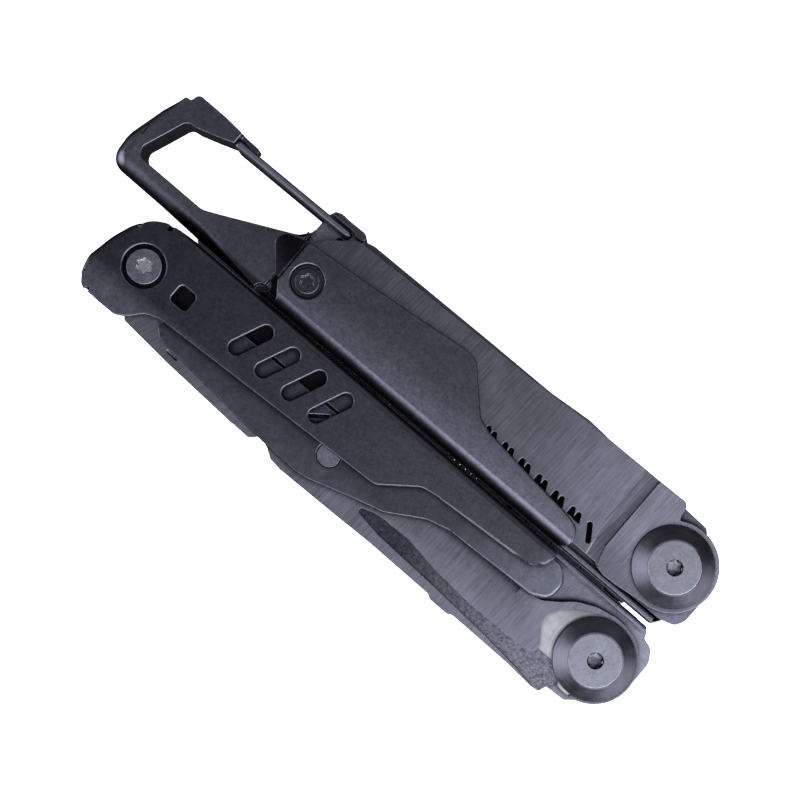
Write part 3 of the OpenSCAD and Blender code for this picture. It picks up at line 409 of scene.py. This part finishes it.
def pick(o, name, zones, angle, keep_out=False):
    """Stores a bevel weight on the edges sharper than an angle whose middle lies in one of the zones
    (low corner, high corner, weight, in drawing mm); with keep_out, on all the others instead."""
    g = bpy.data.node_groups.new(name, "GeometryNodeTree")
    g.interface.new_socket("Geometry", in_out="INPUT", socket_type="NodeSocketGeometry")
    g.interface.new_socket("Geometry", in_out="OUTPUT", socket_type="NodeSocketGeometry")
    gi, go = g.nodes.new("NodeGroupInput"), g.nodes.new("NodeGroupOutput")
    st = g.nodes.new("GeometryNodeStoreNamedAttribute")
    st.data_type = "FLOAT"
    st.domain = "EDGE"
    st.inputs["Name"].default_value = "bevel_weight_edge"
    g.links.new(gi.outputs[0], st.inputs["Geometry"])
    g.links.new(st.outputs[0], go.inputs[0])
    def m(op, a, b=None):
        x = g.nodes.new("ShaderNodeMath")
        x.operation = op
        for i, v in enumerate((a, b)):
            if isinstance(v, (int, float)):
                x.inputs[i].default_value = v
            elif v is not None:
                g.links.new(v, x.inputs[i])
        return x.outputs[0]
    pos = g.nodes.new("GeometryNodeInputPosition")
    sp = g.nodes.new("ShaderNodeSeparateXYZ")
    g.links.new(pos.outputs[0], sp.inputs[0])
    ea = g.nodes.new("GeometryNodeInputMeshEdgeAngle")
    inside = None
    for lo, hi, weight in zones:
        lo, hi = T(*lo), T(*hi)
        z = None
        for k in range(3):
            q = m("MULTIPLY", m("GREATER_THAN", sp.outputs[k], lo[k]), m("LESS_THAN", sp.outputs[k], hi[k]))
            z = q if z is None else m("MULTIPLY", z, q)
        if isinstance(weight, tuple):     # weight at one y, weight at another y
            y0, w0, y1, w1 = weight
            r = g.nodes.new("ShaderNodeMapRange")
            g.links.new(sp.outputs[1], r.inputs["Value"])
            for k, v in zip(("From Min", "From Max", "To Min", "To Max"), (T(0, y0).y, T(0, y1).y, w0, w1)):
                r.inputs[k].default_value = v
            z = m("MULTIPLY", z, r.outputs["Result"])
        else:
            z = m("MULTIPLY", z, weight)
        inside = z if inside is None else m("MAXIMUM", inside, z)
    if keep_out:
        inside = m("SUBTRACT", 1.0, inside)
    w = m("MULTIPLY", inside, m("GREATER_THAN", ea.outputs[0], math.radians(angle)))
    g.links.new(w, st.inputs["Value"])
    mod = o.modifiers.new(name, "NODES")
    mod.node_group = g

def last(o, *names):
    for k in names:
        if k in o.modifiers:
            o.modifiers.move(o.modifiers.find(k), len(o.modifiers) - 1)

def rounded(node, zones, width, seg=6, angle=40, main=0):
    """Rounds only the edges in the zones, before the fine edge bevel."""
    o = nodes[node]
    pick(o, "pick", zones, angle)
    b = o.modifiers.new("round", "BEVEL")
    b.limit_method = "WEIGHT"
    b.width = width * MM
    b.segments = seg
    b.use_clamp_overlap = False
    b.material = main
    b.harden_normals = False
    b.loop_slide = False
    # the fine bevel and the normals come last
    last(o, "edge", "normals")

def spare(node, zones, angle=32):
    """Keeps the fine edge bevel off the edges in the zones."""
    o = nodes[node]
    pick(o, "spare", zones, angle, True)
    o.modifiers["edge"].limit_method = "WEIGHT"
    last(o, "edge", "normals")

for h in "ab":
    finish(f"handle_{h}_channel", "channel_" + h, "channel_edge", 0.12)
    for s in ("front", "back"):
        finish(f"handle_{h}_cover_{s}", "cover_" + h, "cover_edge", 0.28, 4)
        finish(f"handle_{h}_liner_{s}", "liner_" + h, "liner_edge", 0.22, 3)
        finish(f"handle_{h}_washer_{s}", "washer_" + h, None, 0.10, 2, 20)
    finish(f"handle_{h}_pivot_screws", "screw", "screw_edge", 0.10, 2, slots=("socket", "socket_rim"))
    finish(f"handle_{h}_axle", "bright", None, 0.1)
finish("handle_b_liner_rivets", "rivet", "liner_edge", 0.12)
finish("carabiner_body", "hook", "hook_edge", 0.18, 3, 40, slots=("hook_ramp_shade", "hook_lug")).modifiers["edge"].loop_slide = True
finish("carabiner_spacers", "spacer", None, 0.1)
finish("carabiner_screws", "small", "small_edge", 0.14, 3)
finish("gate_wire", "wire", None, 0)
for b in ("saw_blade", "file_blade"):
    finish(b, "blade_a", "blade_edge", 0.12, slots=("groove",))
finish("serrated_blade", "blade_b", "blade_edge", 0.12)
finish("knife_blade", "blade_b", "blade_edge", 0.10, slots=("blade_cast", "blade_worn_and_shade"), clamp=True)
for b in ("jaw_a", "jaw_b"):
    finish(b, "jaw", None, 0.12, 2)
finish("jaw_rivet", "jaw", None, 0.2, 3)
finish("end_tool_axle", "bright", None, 0)
finish("end_tool_spacers", "bright", None, 0)
finish("end_tool_bushes", "spacer", None, 0.1)
finish("end_tool_screws", "end_screw", "end_screw_edge", 0.12, 3, slots=("bright",), clamp=True)
finish("end_tool_spring", "jaw", None, 0.1)
for b in ("bottle_opener", "large_flat_driver", "cross_driver", "awl"):
    finish(b, "tool", "blade_edge", 0.12)

# folded and forged corners with a larger radius
for s_, z0, z1 in (("front", 9.3, 9.5), ("back", -9.5, -9.3)):
    rounded(f"handle_b_cover_{s_}", [((-101, -15.2, z0), (-96.2, -3.6, z1), 1.0), ((-20.5, -5.2, z0), (-14.0, -1.9, z1), (-4.95, 0.1, -3.7, 0.9))], 0.7, 6)
    spare(f"handle_b_cover_{s_}", [((-94.4, -2.3, -11), (-90.2, 0.2, 11), 1.0), ((-98.2, -17.6, -11), (-95.4, -16.1, 11), 1.0)])
for s_, z0, z1 in (("front", 8.3, 8.5), ("back", -8.5, -8.3)):
    rounded(f"handle_b_liner_{s_}", [((-15.5, -9.2, z0), (-10.5, -2.8, z1), 1.0)], 0.6, 5)
for h, y in (("a", 9.5), ("b", -9.5)):
    spare(f"handle_{h}_pivot_screws", [((-1.9, y - 1.9, -12), (1.9, y + 1.9, 12), 1.0)])
rounded("carabiner_body", [((-109, -1, z0), (-77.7, 2.2, z1), 1.0) for z0, z1 in ((5.4, 5.6), (-5.6, -5.4))]
        + [((-109, 2.2, z0), (-105.3, 15.2, z1), (2.2, 1.0, 9.0, 0.4)) for z0, z1 in ((5.4, 5.6), (-5.6, -5.4))], 2.4, 10)

# pocket floors of the knife, the grooves of the saw and file and the socket of the end screws get their own finish;
# the carabiner's ramp and the pivot screws' sockets get painted shade, the carabiner's lug painted light
def by_place(node, test, slot, smooth=True):
    me = nodes[node].data
    for p in me.polygons:
        c = p.center
        if test(c, p.normal):
            p.material_index = slot
            p.use_smooth = smooth
zt = lambda c: (c.z - MIDZ) / MM
by_place("knife_blade", lambda c, n: n.z > 0.9 and abs(zt(c) - 7.05) < 0.04, 2)
by_place("knife_blade", lambda c, n: n.z > 0.9 and abs(zt(c) - 6.95) < 0.04 and (c.x - PB.x) ** 2 + (c.y - PB.y) ** 2 < 0.0102 ** 2, 3)
# the ramp beside cover A's end gets the painted shade
by_place("carabiner_body", lambda c, n: T(-80.2, 0).x < c.x < T(-75.2, 0).x and abs(zt(c)) > 5.55 and -0.95 < n.x < -0.3 and abs(n.z) > 0.2, 2)
# the recessed lug gets the painted light
by_place("carabiner_body", lambda c, n: n.z > 0.9 and 3.6 < zt(c) < 4.3 and c.x > T(-76.3, 0).x and c.y > T(0, 10.5).y, 3)
by_place("saw_blade", lambda c, n: zt(c) < 7.45 and zt(c) > 7.0 and T(-12.8, 0).x < c.x < T(-8.9, 0).x, 2)
by_place("file_blade", lambda c, n: -7.45 < zt(c) < -7.1 and T(-12.8, 0).x < c.x < T(-10.2, 0).x, 2)
# socket floors and walls get the painted shade
for h, P in (("a", PA), ("b", PB)):
    by_place(f"handle_{h}_pivot_screws", lambda c, n: (c - Vector((P.x, P.y, c.z))).length < 1.4 * MM and abs(zt(c)) < 9.86, 2, False)
    by_place(f"handle_{h}_pivot_screws", lambda c, n: (c - Vector((P.x, P.y, c.z))).length < 1.9 * MM and abs(n.z) < 0.95, 3, False)
by_place("end_tool_screws", lambda c, n: (c - Vector((PE.x, PE.y, c.z))).length < 1.42 * MM, 2)

# ------------------------------------------------------------------ studio
# soft boxes painted on the world, in the row's own axes: (azimuth, tilt from straight up, inner and outer angle, strength)
BOXES = [(-34, 44, 21, 44, 4.4), (222, 79, 14, 36, 3.2), (0, 80, 16, 44, 1.6), (90, 50, 8, 34, 0.55)]
TINT = (0.93, 0.975, 1.235)
w = bpy.data.worlds.new("studio")
scene.world = w
w.use_nodes = True
nt = w.node_tree
for n in list(nt.nodes):
    nt.nodes.remove(n)
def wn(kind, **kw):
    x = nt.nodes.new(kind)
    for k, v in kw.items():
        setattr(x, k, v)
    return x
wo = wn("ShaderNodeOutputWorld")
bg = wn("ShaderNodeBackground")
nt.links.new(bg.outputs[0], wo.inputs[0])
tc = wn("ShaderNodeTexCoord")
def w_dot(v):
    x = wn("ShaderNodeVectorMath", operation="DOT_PRODUCT")
    nt.links.new(tc.outputs["Generated"], x.inputs[0])
    x.inputs[1].default_value = v
    return x.outputs["Value"]
def w_range(src, a, b, c, d):
    x = wn("ShaderNodeMapRange", interpolation_type="SMOOTHSTEP")
    nt.links.new(src, x.inputs["Value"])
    for k, v in zip(("From Min", "From Max", "To Min", "To Max"), (a, b, c, d)):
        x.inputs[k].default_value = v
    return x.outputs["Result"]
def w_add(a, b):
    x = wn("ShaderNodeMath", operation="ADD")
    nt.links.new(a, x.inputs[0])
    nt.links.new(b, x.inputs[1])
    return x.outputs[0]
total = w_range(w_dot((0, 0, 1)), 0.0, 0.5, 0.03, 0.24)
for az, tilt, inner, outer, power in BOXES:
    a, t = math.radians(az), math.radians(tilt)
    d = (math.sin(t) * math.cos(a), math.sin(t) * math.sin(a), math.cos(t))
    total = w_add(total, w_range(w_dot(d), math.cos(math.radians(outer)), math.cos(math.radians(inner)), 0, power))
nt.links.new(total, bg.inputs[1])
bg.inputs[0].default_value = (*TINT, 1)

fm = bpy.data.meshes.new("floor")
fm.from_pydata([(-1.5, -1.5, 0), (1.5, -1.5, 0), (1.5, 1.5, 0), (-1.5, 1.5, 0)], [], [(0, 1, 2, 3)])
floor = bpy.data.objects.new("floor", fm)
scene.collection.objects.link(floor)
floor.location = (0, 0, CAD_LO.z - 0.00005)
mf = M("floor_white")
mf.set(Roughness=0.9)
mf.b.inputs["Base Color"].default_value = (0.92, 0.92, 0.92, 1)
mf.b.inputs["Emission Color"].default_value = (1, 1, 1, 1)
mf.b.inputs["Emission Strength"].default_value = 1.2
fm.materials.append(mf.m)
floor.visible_diffuse = False
floor.visible_glossy = False
floor.visible_transmission = False
